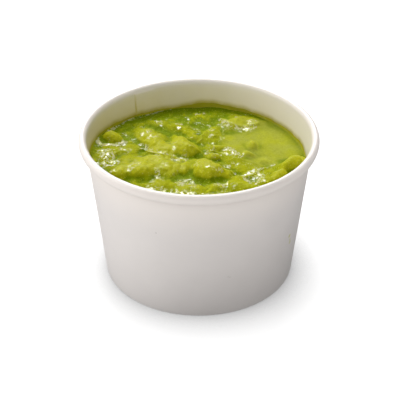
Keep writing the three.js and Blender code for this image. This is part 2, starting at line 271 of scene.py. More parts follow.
def wall_section():
    """The closed outline as plain radius and height, with how far it belongs to inside and outside."""
    inside_z = np.concatenate([np.linspace(1, 38, 12), np.linspace(39, roll_middle[1], 42)])
    outside_z = np.linspace(roll_middle[1], 1.2, 40)
    hem_in = inner(0) - 2 * GAP - 2 * BOARD
    over = arc(roll_middle, ROLL_HALF, 180, CURL_END, 36)
    under = arc(roll_middle, np.array(ROLL_HALF) - BOARD, CURL_END, 180, 18)
    foot_in = arc((hem_in + FOLD, FOLD), FOLD, 270, 180, 6)
    foot_out = arc((inner(0) + BOARD - FOLD, FOLD), FOLD, 360, 270, 6)
    hem_z = np.linspace(0.8, HEM_TOP, 10)
    parts = [  # radius, height, 1 where the inside of the lap shows, 1 where its outside shows
        (foot_in[0], foot_in[1], 0, 0),
        (hem_in + slope * hem_z, hem_z, 0, 0),
        (np.array([hem_in + BOARD + slope * HEM_TOP]), np.array([HEM_TOP]), 0, 0),
        (np.array([hem_in + BOARD, inner(BOARD)]), np.array([BOARD, BOARD]), 0, 0),
        (inner(inside_z), inside_z, 1, 0),
        (over[0][1:], over[1][1:], 0, 2),
        (under[0], under[1], 0, 2),
        (inner(outside_z[1:]) + BOARD, outside_z[1:], 0, 1),
        (foot_out[0], foot_out[1], 0, 0),
    ]
    radius = np.concatenate([p[0] for p in parts])
    z = np.concatenate([p[1] for p in parts])
    side_in = np.concatenate([np.full(len(p[0]), p[2] == 1) for p in parts])
    side_out = np.concatenate([np.full(len(p[0]), p[3] == 1) for p in parts])
    roll = np.concatenate([np.full(len(p[0]), p[3] == 2) for p in parts])
    return radius, z, side_in, side_out, roll


def wall_points(angles):
    """Section carried round: x = r cos a, y = r sin a, where r also has the lap and an unevenness.

    The board is never quite round, so the radius swings by a few hundredths of a millimetre round the
    wall, and the roll of the rim by a little more."""
    radius, z, side_in, side_out, roll = wall_section()
    a = angles[:, None]
    turn = np.radians(a)
    lapped = smoothstep(LAP_REACH[0], LAP_REACH[1], z)[None, :]
    push = SEAM_STEP * lapped * (side_out * lap_outside(a) - side_in * lap_inside(a))
    on_roll = roll * np.clip(radius - roll_middle[0], 0, ROLL_HALF[0]) / ROLL_HALF[0]
    push = push + SEAM_STEP * lap_outside(a) * on_roll[None, :]
    wave = sum(high * np.sin(waves * turn + start) for high, waves, start in OUT_OF_ROUND)
    dent = -ROLL_DENT * on_roll[None, :] * (1 + np.sin(11 * turn + 1.3) * np.sin(4 * turn))
    on_side = (side_out | side_in) * smoothstep(*UNEVEN_FROM, z) * smoothstep(*UNEVEN_TO, z)
    r = radius[None, :] + push + wave * on_side + dent
    return np.stack([r * np.cos(turn), r * np.sin(turn), np.broadcast_to(z, r.shape)], axis=-1)


angles = wall_angles(WALL_COLUMNS)
points = wall_points(angles)
rows, columns = points.shape[:2]
wall_faces = grid_faces(rows, columns, True, True)
wall = make_piece("paper_wall", points.reshape(-1, 3), wall_faces, sharp_from=50)

# %% [markdown]
# ## Marks and painted shade on the wall
#
# The juice has crept into the paper: a yellow-green tide mark stands above the mash, higher in some
# places than in others, and the raw edge of the lap has drunk it, most of all low down. Above the tide
# line the inner wall is also painted darker and yellower, most on the left side and just above the mash:
# this is partly a juice stain and partly painted shade and painted green bounce light from the mash.
# Worked out for each point of the mesh, these marks become numbers that the board's material blends
# with.

# %% Where the board is stained, and where shade is painted
# angle from +X in degrees, height in millimetres to which mash has wetted the wall
WET_LINE = [(0, 45.4), (7, 45.8), (14, 47.2), (32, 47.4), (49, 47.8), (60, 48.1), (78, 48.8),
            (88, 49.4), (97, 48.0), (108, 47.5), (118, 48.0), (135, 48.2), (147, 48.9), (173, 50.0),
            (200, 48.6), (240, 47.6), (270, 48.3), (300, 47.4), (330, 46.4), (360, 45.4)]
# fine waves of that line: height in millimetres, waves round the wall, start in radians
WET_WAVES = [(0.12, 23, 1), (0.08, 41, 0)]
SOAKED_FROM = (2.2, -0.4)    # millimetres above the line where the soaking starts and is complete
# partly stain, partly painted shade and bounce light: the inner wall is painted darker and yellower
STAIN_AND_SHADE_SIDE = 150.0          # degrees: the side of the inner wall that the juice has tinged most
STAIN_AND_SHADE_STRENGTH = 0.50           # how strongly that side is tinged, up to the rim
STAIN_AND_SHADE_BESIDE_MASH = (0.10, 0.34)    # beside the mash: how strongly all round, and how much more on that side
STAIN_AND_SHADE_FADE = 3.5              # millimetres over which the tinge beside the mash fades
EDGE_WIDTH = 0.35            # degrees: width of the stain on the lap's raw edge


def wet_line(angle):
    """Height of the wetted edge: straight between the listed places, made uneven by a fine wave."""
    where, high = np.array(WET_LINE).T
    a = np.radians(angle)
    fine = sum(rise * np.sin(waves * a + start) for rise, waves, start in WET_WAVES)
    return np.interp(angle % 360, where, high) + fine


angle_of_point = np.repeat(angles, columns)
radius_z = np.tile(wall_section()[1], rows)
is_inside = np.tile(wall_section()[2], rows)
above_wet = radius_z - wet_line(angle_of_point)
soaked = is_inside * smoothstep(*SOAKED_FROM, above_wet)
# painted shade and stain: strongest towards the shaded side, and beside the mash
towards = 0.5 + 0.5 * np.cos(np.radians(angle_of_point - STAIN_AND_SHADE_SIDE))
near_mash = np.exp(-np.maximum(above_wet, 0) / STAIN_AND_SHADE_FADE)
low_all_round, low_there = STAIN_AND_SHADE_BESIDE_MASH
stain_and_painted_shade = STAIN_AND_SHADE_STRENGTH * towards ** 1.5 + (low_all_round + low_there * towards) * near_mash
stain_and_painted_shade = is_inside * stain_and_painted_shade * smoothstep(height - 0.4, height - 4, radius_z)
edge = np.exp(-((angle_of_point - SEAM_EDGE - SEAM_CUT) / EDGE_WIDTH) ** 2) * is_inside
edge = edge * (0.25 + 0.75 * smoothstep(9, 2, above_wet))
edge = edge * smoothstep(height - 1, height - 3, radius_z)
give_values(wall, "soaked", soaked)
give_values(wall, "stain_and_painted_shade", stain_and_painted_shade)
give_values(wall, "seam_edge", edge)
print("stained points:", int((soaked > 0.5).sum()))

# %% [markdown]
# ## The bottom
#
# A disc of the same board is set in above the foot, its edge turned down and gripped by the hem. From
# above it is under the mash; from below it is the plain matt disc that the pot is made of.

# %% Bottom disc
BOTTOM_COLUMNS = 200
POLE = 0.4                   # radius of the first ring round the axis
DISH = 0.12                  # how far the disc bulges up in its middle
CREASE = 0.6                 # rounding where the disc turns down into its skirt


def bottom_section():
    """Outline from the axis along the underside, round the skirt and back along the top."""
    skirt_out = inner(0) - GAP
    skirt_foot = BOARD + GAP
    bend = arc((skirt_out + slope * disc_top - BOARD, disc_top - BOARD), BOARD, 0, 90, 6)
    under_r = np.linspace(POLE, skirt_out - BOARD + slope * recess - CREASE, 30)
    dish = DISH * np.cos(under_r / under_r[-1] * math.pi / 2)
    crease = arc((under_r[-1], recess - CREASE), CREASE, 90, 0, 5)
    skirt_z = np.linspace(recess - 1.5 * CREASE, skirt_foot, 6)
    back_z = np.linspace(skirt_foot, disc_top - BOARD - 0.2, 6)
    radius = np.concatenate([under_r, crease[0][1:], skirt_out - BOARD + slope * skirt_z,
                             skirt_out + slope * back_z, bend[0], [POLE]])
    z = np.concatenate([recess + dish, crease[1][1:], skirt_z, back_z, bend[1], [disc_top]])
    return radius, z


radius, z = bottom_section()
turn = np.radians(np.arange(BOTTOM_COLUMNS) * 360 / BOTTOM_COLUMNS)[:, None]
heights = np.broadcast_to(z, (BOTTOM_COLUMNS, len(z)))
points = np.stack([radius * np.cos(turn), radius * np.sin(turn), heights], axis=-1)
poles = np.array([[0, 0, z[0]], [0, 0, z[-1]]])
quads = grid_faces(BOTTOM_COLUMNS, len(z), close_rows=True)
first = np.arange(BOTTOM_COLUMNS) * len(z)
following = np.roll(first, -1)
pole_low = np.full(BOTTOM_COLUMNS, BOTTOM_COLUMNS * len(z))
caps = np.vstack([np.stack([pole_low, first, following], axis=1),
                  np.stack([pole_low + 1, following + len(z) - 1, first + len(z) - 1], axis=1)])
points = np.vstack([points.reshape(-1, 3), poles])
bottom = make_piece("paper_bottom", points, quads, caps, sharp_from=50)

# %% [markdown]
# ## The mushy peas
#
# The filling is the heart of the picture: a thick mash, runny and smooth at the back right, and crumbly
# elsewhere, with whole peas, halves and folded skins standing out of it. It could be sculpted by hand,
# but then nobody could change it. Here it is a surface over the unit disc instead. Each big lump is a
# dome with its own place, size and softness, steeper in front than behind, and it swells a little over
# its own foot. Smaller things are added on top: skins along curves, crumbs, and noise.

# %% Where the mash meets the wall
# angle from +X in degrees, height of the mash's edge in millimetres: high on the left, low on the right
MASH_LINE = [(0, 44.9), (14, 46.2), (32, 46.5), (60, 46.6), (88, 46.7), (116, 46.7), (135, 47.1),
             (150, 47.9), (161, 48.9), (173, 49.3), (190, 48.7), (210, 47.8), (240, 47.2),
             (270, 47.4), (300, 46.8), (330, 45.8), (360, 44.9)]


def edge_level(angle):
    """Height of the mash at the wall: straight between the listed places."""
    where, high = np.array(MASH_LINE).T
    return np.interp(angle % 360, where, high)


# %% Lumps
# place in plan, half sizes (length, width, height), turn in degrees, softness of the edge (0.5 is a
# ball, 1 a low dome, 2 a swell), and how many times longer the slope is at the back than at the front
LUMPS = [
    # the pair in the middle, a long fold of crushed peas with a whole pea leaning on it
    ((-17.4, 9.0), (10.4, 5.6, 3.5), 117, 0.6, 1.3),
    ((-20.8, 16.2), (4.8, 4.2, 2.2), 60, 0.8, 1.4),
    ((-6.4, 5.4), (7.2, 5.4, 4.2), -26, 0.55, 1.8),
    ((-11.8, 4.0), (5.0, 3.6, 2.8), -50, 0.6, 1.6),
    # front left: a broad mass of crushed peas with a pea under its front
    ((-19.0, -8.2), (12.6, 6.2, 2.4), 6, 0.65, 2.0),
    ((-21.0, -11.4), (4.2, 3.4, 3.0), 0, 0.55, 1.8),
    ((-30.0, -12.2), (3.8, 2.8, 2.6), 25, 0.6, 1.6),
    ((-28.6, -4.0), (5.4, 2.6, 1.4), 62, 0.9, 1.2),
    ((-12.0, -9.6), (5.0, 3.4, 1.4), -30, 0.9, 1.6),
    # front middle: a whole pea with broken halves beside it
    ((3.4, -10.2), (6.2, 5.4, 3.9), -14, 0.5, 1.6),
    ((-5.6, -8.0), (6.8, 3.6, 2.2), 24, 0.7, 1.8),
    ((9.8, -12.6), (2.6, 2.2, 2.3), 30, 0.6, 1.4),
    ((11.6, -17.4), (2.8, 2.4, 1.2), 0, 0.8, 1.2),
    # middle: a small pea, a rolled skin above it and a skin that lies flat
    ((6.0, 0.8), (2.9, 2.7, 2.5), 0, 0.5, 1.1),
    ((7.6, 7.2), (4.6, 1.9, 2.0), 3, 0.6, 1.5),
    ((13.6, 4.0), (4.4, 4.6, 1.1), 20, 1.2, 1.3),
    ((15.8, -6.0), (7.2, 4.8, 1.0), -12, 1.0, 1.4),
    # right: a curled piece against the wall, and crumbs in the smooth mash
    ((30.4, -10.4), (5.2, 2.3, 2.4), 62, 0.6, 1.3),
    ((35.0, -5.2), (6.2, 2.6, 3.6), 22, 0.5, 1.8),
    ((20.8, 11.2), (3.2, 1.7, 2.2), 96, 0.55, 1.2),
    ((19.6, 4.2), (2.6, 1.8, 1.9), -30, 0.6, 1.3),
    ((25.6, -1.0), (4.6, 2.2, 1.4), -12, 0.8, 1.5),
    # back: a half-sunk pea at each side and low swells between them
    ((15.0, 28.6), (6.8, 4.2, 1.5), -10, 0.8, 1.4),
    ((21.4, 25.6), (3.6, 2.6, 1.0), 40, 1.0, 1.3),
    ((-33.8, 12.2), (4.0, 3.6, 3.0), 0, 0.5, 1.3),
    ((4.8, 19.4), (4.4, 2.8, 1.2), 70, 1.0, 1.6),
    ((-1.8, 16.6), (4.2, 2.6, 1.1), -40, 1.0, 1.6),
    ((-8.4, 24.6), (6.0, 3.0, 0.9), -20, 1.2, 1.6),
    ((-17.0, 27.6), (5.4, 2.8, 0.9), 15, 1.2, 1.6),
    ((0.6, 34.6), (5.0, 2.2, 0.7), -8, 1.5, 1.3),
    ((-27.4, 6.2), (5.4, 3.4, 1.1), 25, 1.0, 1.5),
    ((-35.4, 0.6), (4.4, 3.2, 1.0), 80, 1.0, 1.3),
    # front, behind the near rim
    ((-13.8, -19.0), (4.6, 3.4, 1.5), 20, 0.9, 1.5),
    ((16.4, -19.4), (5.2, 3.6, 1.3), -20, 0.9, 1.5),
    ((24.6, -14.6), (4.8, 3.2, 1.4), 40, 0.9, 1.5),
    ((-3.4, -21.8), (6.4, 3.8, 1.3), 10, 0.9, 1.5),
    ((5.6, -21.0), (3.6, 2.8, 1.2), -30, 0.9, 1.4),
    ((-24.8, -24.4), (5.0, 4.0, 2.4), -35, 0.7, 1.4),
    ((6.6, -32.4), (5.0, 4.2, 2.6), 15, 0.7, 1.4),
    ((-10.6, -33.2), (4.4, 3.6, 1.8), -10, 0.8, 1.4),
    ((22.2, -27.8), (4.6, 3.8, 2.2), 50, 0.7, 1.4),
]
# broad swells that the lumps lie on: place, half sizes, turn, height
MOUNDS = [
    ((-12.0, 8.0), (17.0, 11.0), -35, 1.3),
    ((-18.0, -9.0), (16.0, 8.5), 4, 1.0),
    ((3.0, -8.0), (12.0, 9.0), 0, 1.2),
    ((33.0, -6.0), (10.0, 7.0), 15, 2.0),
    ((15.0, 28.0), (12.0, 8.0), -8, 0.6),
    ((-2.0, -28.0), (22.0, 10.0), 0, 1.0),
]
print(len(LUMPS), "lumps on", len(MOUNDS), "mounds")

# %% The mash between the lumps
SMOOTH_AT = (27.0, 14.0)     # middle of the runnier, smooth mash
SMOOTH_REACH = (11.0, 25.0)  # it is quite smooth inside the first distance, rough outside the second


def plain_level(x, y):
    """Height of the mash without its lumps: level in the middle, at the wall as high as its edge.

    The difference grows with the square of the distance from the middle. Slow swells and mounds are
    added. A mound is cos^2 of the distance from its middle, counted in its own half sizes."""
    reach = np.hypot(x, y) / inner(LEVEL)
    level = LEVEL + (edge_level(np.degrees(np.arctan2(y, x))) - LEVEL) * reach ** 2
    level = level + 0.3 * np.sin(0.16 * x + 0.5) * np.cos(0.13 * y - 0.4) * (1 - reach ** 4)
    for (at_x, at_y), (length, width), turn, rise in MOUNDS:
        cos, sin = math.cos(math.radians(turn)), math.sin(math.radians(turn))
        dx, dy = x - at_x, y - at_y
        away = np.hypot((dx * cos + dy * sin) / length, (dy * cos - dx * sin) / width)
        level = level + rise * np.cos(np.minimum(away, 1) * math.pi / 2) ** 2
    return level


def roughness_of_mash(x, y):
    """0 in the smooth mash and 1 in the crumbly mash, with an uneven border."""
    reach = np.hypot(x - SMOOTH_AT[0], y - SMOOTH_AT[1]) + 3 * noise(x, y, 7, 31)
    return smoothstep(SMOOTH_REACH[0], SMOOTH_REACH[1], reach)


# %% Raising the lumps
HOLLOW = 2.0                 # width of the rounded crease where a lump meets the mash
OUTSIDE = 2.4                # how fast a lump's height drops outside its foot
UNEVEN = (0.08, 0.05)        # how far a lump's outline leaves its oval, in two and in three waves round
BACK = 1.5                   # softness of every lump's far side, which runs out into the mash


def raise_lump(x, y, lump, number):
    """Height that one lump gives to points x, y: its own height times (1 - d^2) to the power softness.

    d is the distance from the lump's middle, counted in its half sizes, so it is 1 at the foot. Two
    slow waves round the lump, which start at another angle on each, make its outline uneven."""
    (at_x, at_y), (length, width, rise), turn, softness, lean = lump
    cos, sin = math.cos(math.radians(turn)), math.sin(math.radians(turn))
    dx, dy = x - at_x, y - at_y
    away = dy / np.maximum(np.hypot(dx, dy), 0.01)
    soft = softness + (BACK - softness) * smoothstep(-0.6, 1.0, away)
    dy = np.where(dy > 0, dy / lean, dy)
    u = (dx * cos + dy * sin) / length
    v = (dy * cos - dx * sin) / width
    way = np.arctan2(v, u)
    twice, thrice = UNEVEN
    outline = 1 + twice * np.sin(2 * way + 1.7 * number) + thrice * np.sin(3 * way + 2.9 * number)
    d = np.hypot(u, v) / outline
    return rise * (np.clip(1 - d * d, 0, 1) ** soft - OUTSIDE * np.maximum(d - 1, 0))


def raised(x, y, mash):
    """The mash with its lumps: a soft maximum of all heights, and how much each point is lump."""
    top = mash
    for number, lump in enumerate(LUMPS):
        (at_x, at_y), softness = lump[0], lump[3]
        follow = smoothstep(0.6, 1.2, softness)
        foot = float(plain_level(at_x, at_y)) * (1 - follow) + mash * follow
        top = soft_maximum(top, foot + raise_lump(x, y, lump, number), HOLLOW)
    return top, smoothstep(0.5, 2.6, top - mash)


# %% [markdown]
# ## Skins and wet edges
#
# A boiled pea sheds its skin, a clear, leathery film. In the mash the skins lie in folds whose raised
# edges catch the light as thin bright lines. Each is a low ridge along a curve through a few points.

# %% Ridges along curves
# points in plan, width and height of the ridge
SKINS = [
    ([(-23.5, 6.6), (-19, 2.4), (-14.5, -0.4), (-9, -2.2), (-4.5, -3.0)], 0.8, 0.6),
    ([(10.5, -8.0), (12.6, -11.2), (15.5, -13.0), (20, -10.4), (25, -6.4), (29.5, -3.8)], 0.6, 0.55),
    ([(10.5, -3.6), (13.0, -0.8), (18.0, 0.0), (22.0, -2.4), (24.5, -5.6)], 0.8, 0.3),
    ([(2.4, -0.8), (3.0, 3.0), (6.2, 4.8), (9.2, 3.4), (10.2, 0.0)], 0.7, 0.4),
    ([(8.6, 33.0), (10.2, 29.4), (13.5, 26.2), (18.0, 24.4), (22.4, 25.4), (23.6, 28.4)], 0.9, 0.6),
    ([(-38.4, 13.6), (-38.2, 9.4), (-35.2, 7.4), (-30.6, 8.6), (-28.8, 11.0)], 0.8, 0.5),
    ([(-28.0, -3.8), (-22.0, -2.8), (-16.0, -3.4), (-11.5, -6.0)], 0.8, 0.35),
    ([(-25.0, 19.0), (-24.0, 14.0), (-21.6, 9.2), (-18.0, 4.6)], 0.9, 0.35),
    ([(-34.0, -4.0), (-33.0, 0.5), (-30.0, 3.5), (-26.0, 4.0)], 0.8, 0.4),
    ([(-2.0, 12.0), (1.0, 14.5), (1.5, 18.5), (5.0, 23.0)], 0.8, 0.4),
]


def smooth_path(points, count=60):
    """A curve through the points: each stretch blends its ends with Catmull-Rom weights."""
    p = np.array(points, float)
    p = np.vstack([2 * p[0] - p[1], p, 2 * p[-1] - p[-2]])
    t = np.linspace(0, len(points) - 1 - 1e-9, count)
    k, f = np.floor(t).astype(int), (t % 1)[:, None]
    a, b, c, d = p[k], p[k + 1], p[k + 2], p[k + 3]
    square, cube = 2 * a - 5 * b + 4 * c - d, 3 * b - a - 3 * c + d
    return 0.5 * (2 * b + (c - a) * f + square * f ** 2 + cube * f ** 3)


def ridge(x, y, points, width, high, fade=0.15):
    """A bump along the curve: high * exp(-2.5 (distance / width)^2), faded at both ends."""
    path = smooth_path(points)
    near = np.full(x.shape, 1e9)
    along = np.zeros(x.shape)
    for i, (px, py) in enumerate(path):
        distance = np.hypot(x - px, y - py)
        closer = distance < near
        near = np.where(closer, distance, near)
        along = np.where(closer, i / (len(path) - 1), along)
    ends = smoothstep(-0.01, fade, along) * smoothstep(1.01, 1 - fade, along)
    return high * ends * np.exp(-(near / width) ** 2 * 2.5)


# %% [markdown]
# ## Wet places
#
# Where juice stands on the mash it shines, and elsewhere the surface is only moist. The wet places are
# drawn the same way as the skins: a path, how wide it is and how wet. They lie in the creases in front
# of the big lumps, round half-sunk peas and in pools near the wall, and thinly on the lumps' tops. In
# them the mash is also painted pale, partly as starch and partly as painted glints.

# %% Wet places
# points in plan, half width, how wet
POOLS = [
    # the crease in front of the pair, and the notch to its right
    ([(-24, 9.0), (-21.0, 5.0), (-18.0, 2.2), (-14.5, 0.4), (-9, -1.4), (-4.5, -2.4)], 1.1, 1.0),
    ([(-15.0, -12.0), (-14.6, -15.0), (-12.6, -17.4)], 1.4, 1.0),
    # round the half-sunk pea at the left, and the rippled pool in front of it
    ([(-39.0, 15.0), (-39.2, 11.0), (-37.0, 8.0), (-33.0, 7.2), (-30.0, 8.8), (-28.6, 12.0)], 1.2, 1.0),
    ([(-37.0, 4.0), (-35.0, -2.0), (-33.0, -8.0)], 4.2, 0.85),
    ([(-31.0, 6.0), (-27.0, 3.0)], 2.4, 0.6),
    # moist tops of the lumps
    ([(-20.0, 17.0), (-17.0, 12.0), (-14.5, 7.0)], 2.8, 0.26),
    ([(-10.0, 11.0), (-6.0, 9.5), (-3.0, 7.0)], 2.6, 0.20),
    ([(-28.0, -6.0), (-20.0, -4.6), (-12.0, -6.4), (-7.0, -5.0)], 2.6, 0.22),
    ([(0.0, -7.0), (3.0, -8.6), (6.0, -9.0)], 2.4, 0.26),
    # the torn slope in the middle, and the film patch with its bright edge
    ([(11.0, 7.0), (14.0, 4.0), (17.0, 1.8)], 2.4, 1.0),
    ([(12.6, -9.6), (14.6, -12.0), (19.6, -9.6), (25.0, -6.0), (29.0, -3.6)], 0.8, 1.0),
    ([(12.0, -3.4), (17.0, -4.6), (21.0, -3.0)], 1.6, 0.6),
    # round the broken pea at the back right
    ([(8.6, 32.4), (10.0, 28.4), (12.6, 25.4), (17.6, 23.2), (22.8, 24.0)], 1.3, 1.0),
    ([(19.0, 26.6), (22.5, 28.0)], 1.8, 0.8),
    # small glints between the crumbs at the back
    ([(-18.0, 28.6), (-15.0, 29.6)], 1.6, 0.9),
    ([(-10.0, 26.6), (-7.0, 27.4)], 1.5, 0.9),
    ([(-9.6, 23.6), (-7.4, 23.0)], 1.3, 0.9),
    ([(-2.0, 36.0), (2.4, 36.6)], 1.5, 0.9),
    ([(4.0, 21.4), (6.0, 22.4)], 1.4, 0.8),
    ([(4.4, 18.0), (6.0, 16.6)], 1.4, 0.8),
    ([(-2.4, 19.6), (0.0, 19.0)], 1.3, 0.8),
    # pools near the front rim
    ([(17.0, -15.6), (21.5, -13.0), (25.0, -12.4)], 3.2, 1.0),
    ([(-8.6, -18.4), (-4.0, -17.4), (0.0, -19.4)], 3.2, 1.0),
    ([(5.0, -18.6), (10.0, -20.0)], 3.0, 1.0),
    ([(-20.0, -22.0), (-12.0, -25.0), (0.0, -28.0), (12.0, -26.0)], 3.4, 0.85),
]
POOL_SPREAD = 1.6            # a pool's bell curve is this much wider than the half width
POOL_END = 0.02              # part of its length over which a pool fades at each end
MENISCUS = (100.0, 156.0)    # degrees: where the mash's edge at the wall shines
GLINT_CELL = 3.2             # size of the moist spots between the crumbs
MOIST = 0.65                 # how wet those spots are


def wetness(x, y, reach):
    """The wettest of all pools at each point, and a line along the wall where the juice stands."""
    wet = np.zeros(x.shape)
    for path, width, much in POOLS:
        wet = np.maximum(wet, ridge(x, y, path, width * POOL_SPREAD, much, POOL_END))
    moist = roughness_of_mash(x, y) * smoothstep(0.10, 0.55, rough_noise(x, y, GLINT_CELL, 71, 2))
    angle = np.degrees(np.arctan2(y, x))
    first, last = MENISCUS
    line = smoothstep(first, first + 8, angle) * smoothstep(last, last - 8, angle)
    return np.maximum(np.maximum(wet, MOIST * moist), line * smoothstep(0.955, 0.975, reach))


# %% [markdown]
# ## Crumbs
#
# Between the lumps lie hundreds of bits of crushed pea. Their places and sizes are drawn at random from
# a seed, and each is a small dome, so they cost one formula. There are none in the smooth mash.

# %% Crumbs
CRUMBS = 420
CRUMBS_WITHIN = 41.5         # radius of the disc that they are strewn over
CRUMB_SIZE = (0.5, 1.9)      # radius in millimetres
CRUMB_CREASE = 0.25          # width of the rounded crease round a crumb
CRUMB_DROP = 0.06            # what those creases would otherwise add where there is no crumb


def crumb_relief(x, y):
    """Many small domes: each is its own height times 1 - d^2, where d is 1 at its own radius."""
    draw = np.random.default_rng(12)
    relief = np.zeros(x.shape)
    for _ in range(CRUMBS):
        reach, way = CRUMBS_WITHIN * math.sqrt(draw.random()), draw.random() * 2 * math.pi
        size = CRUMB_SIZE[0] + (CRUMB_SIZE[1] - CRUMB_SIZE[0]) * draw.random() ** 2
        stretch, turn = 0.5 + 0.45 * draw.random(), draw.random() * math.pi
        rise = size * (0.20 + 0.25 * draw.random())
        at_x, at_y = reach * math.cos(way), reach * math.sin(way)
        dx, dy = x - at_x, y - at_y
        u = dx * math.cos(turn) + dy * math.sin(turn)
        v = (dy * math.cos(turn) - dx * math.sin(turn)) / stretch
        d2 = (u * u + v * v) / size ** 2
        relief = soft_maximum(relief, rise * (1 - np.minimum(d2, 1.6)), CRUMB_CREASE)
    return np.maximum(relief - CRUMB_DROP, 0)


# %% [markdown]
# ## The filling as one mesh
#
# A square grid is spread over the disc ring by ring, which keeps the cells even from the middle to the
# edge. At the edge the mash meets the paper: it creeps up a little, and above that a thin wet film
# clings to the wall up to the tide line. The underside is closed, so the filling is a solid.

# %% The filling's grid
CELLS = 270                  # cells across the top
FILM_ROWS = 8                # rows of the wet film up the wall
CREEP = 0.35                 # how far the mash creeps up the paper
TUCK = 0.03                  # how far the filling reaches into the paper, so that no gap shows
MELT = 2                     # cells over which the lumps' creases are softened
SWELL = 0.3                  # how far a lump bulges over its own foot
# drift of the lumps' outlines: how far, size of the cells, seeds for x and y
DRIFT = [(0.9, 6.5, 3, 7), (0.25, 2.6, 5, 9)]
CRUMB_DRIFT = (0.35, 1.3)    # the same for the crumbs: how far, size of the cells
# wrinkles: size of the cells, height, seed
WRINKLES = [(3.4, 0.30, 51), (1.9, 0.26, 52), (1.0, 0.17, 53)]


def disc_grid(cells):
    """Square to disc: the ring through a point keeps its distance, and its sides become arcs."""
    a, b = np.meshgrid(np.linspace(-1, 1, cells + 1), np.linspace(-1, 1, cells + 1))
    wide = np.abs(a) > np.abs(b)
    radius = np.where(wide, a, b)
    safe = np.where(radius == 0, 1, radius)
    angle = np.where(wide, math.pi / 4 * b / safe, math.pi / 2 - math.pi / 4 * a / safe)
    return radius * np.cos(angle), radius * np.sin(angle)


def wall_radius(z, angle):
    """Radius of the paper's inner face at a height and an angle in degrees, the lap included."""
    return inner(z) - SEAM_STEP * lap_inside(angle % 360)


def melted(values, width):
    """A grid blurred along both directions with a bell curve, some cells wide."""
    steps = np.arange(-3 * width, 3 * width + 1)
    kernel = np.exp(-(steps / width) ** 2 / 2)
    kernel = kernel / kernel.sum()
    for axis in (0, 1):
        border = [(3 * width, 3 * width) if a == axis else (0, 0) for a in (0, 1)]
        padded = np.pad(values, border, mode="edge")
        places = np.arange(values.shape[axis])
        values = sum(k * np.take(padded, places + i, axis) for i, k in enumerate(kernel))
    return values


def outward(points):
    """Unit normals of a grid of points: the cross product of its two directions."""
    along = np.gradient(points, axis=1)
    across = np.gradient(points, axis=0)
    normal = np.cross(along, across)
    return normal / np.maximum(np.linalg.norm(normal, axis=-1, keepdims=True), 1e-9)


def drifted(x, y):
    """Places pushed about by two sizes of noise, so that no lump keeps a regular outline."""
    drift_x = sum(far * noise(x, y, cell, seed) for far, cell, seed, _ in DRIFT)
    drift_y = sum(far * noise(x, y, cell, seed) for far, cell, _, seed in DRIFT)
    return x + drift_x, y + drift_y


def crumbs_between_lumps(x, y, x0, y0, rough, lump):
    """The crumbs where the mash is rough, in patches, and fewer on lumps and towards the back."""
    far, cell = CRUMB_DRIFT
    patches = smoothstep(-0.35, 0.3, rough_noise(x0, y0, 7, 41, 2))
    crumb = crumb_relief(x + far * noise(x, y, cell, 61), y + far * noise(x, y, cell, 62))
    return crumb * rough * patches * (1 - 0.7 * lump) * (1 - 0.7 * smoothstep(4, 14, y0))


# %% The filling's top
def filling_surface(cells):
    """Positions of the top's grid and, for the material, what each point is made of.

    x0, y0 are a point's own place, and x, y the drifted one that lumps, skins and crumbs see. The mash
    and its lumps give the height, and what is finer is added along the surface's normals."""
    disc_x, disc_y = disc_grid(cells)
    across = inner(LEVEL) + TUCK
    x0, y0 = disc_x * across, disc_y * across
    reach = np.hypot(disc_x, disc_y)
    rough = roughness_of_mash(x0, y0)
    keep = smoothstep(1.0, 0.95, reach)
    x, y = drifted(x0, y0)
    mash = plain_level(x0, y0) + (0.10 + 0.45 * rough) * rough_noise(x0, y0, 6.5, 11, 2)
    top, lump = raised(x, y, mash)
    top = melted(top, MELT)
    skin = np.zeros(x.shape)
    for path, width, high in SKINS:
        skin = np.maximum(skin, ridge(x, y, path, width, high))
    crumb = crumbs_between_lumps(x, y, x0, y0, rough, lump) * keep
    angle = np.degrees(np.arctan2(y0, x0))
    top = top + CREEP * smoothstep(0.97, 1.0, reach) ** 2
    points = np.stack([x0, y0, top], axis=-1)
    points = points + outward(points) * (SWELL * lump * keep)[..., None]
    wrinkle = sum(high * noise(x0, y0, cell, seed) for cell, high, seed in WRINKLES)
    relief = skin + crumb + wrinkle * (0.12 + 0.88 * rough) * keep
    points = points + outward(points) * relief[..., None]
    fit = (wall_radius(points[..., 2], angle) + TUCK) / across - 1
    points[..., :2] *= (1 + fit * reach ** 12)[..., None]
    return points, lump, crumb, skin, rough, wetness(x, y, reach)


top, lump_share, crumb, skin, rough, wet = filling_surface(CELLS)
print("highest point of the peas:", round(float(top[..., 2].max()), 2), "mm")

# %% Close the filling: film, side and underside
FILM_THICK = 0.05            # thickness of the film on the wall
FILM_FOOT = 0.30             # how much thicker it is where it leaves the mash


def edge_loop(cells):
    """Numbers of the grid's border points, once round anticlockwise."""
    n = np.arange((cells + 1) ** 2).reshape(cells + 1, cells + 1)
    return np.concatenate([n[0, :-1], n[:-1, -1], n[-1, :0:-1], n[:0:-1, 0]])


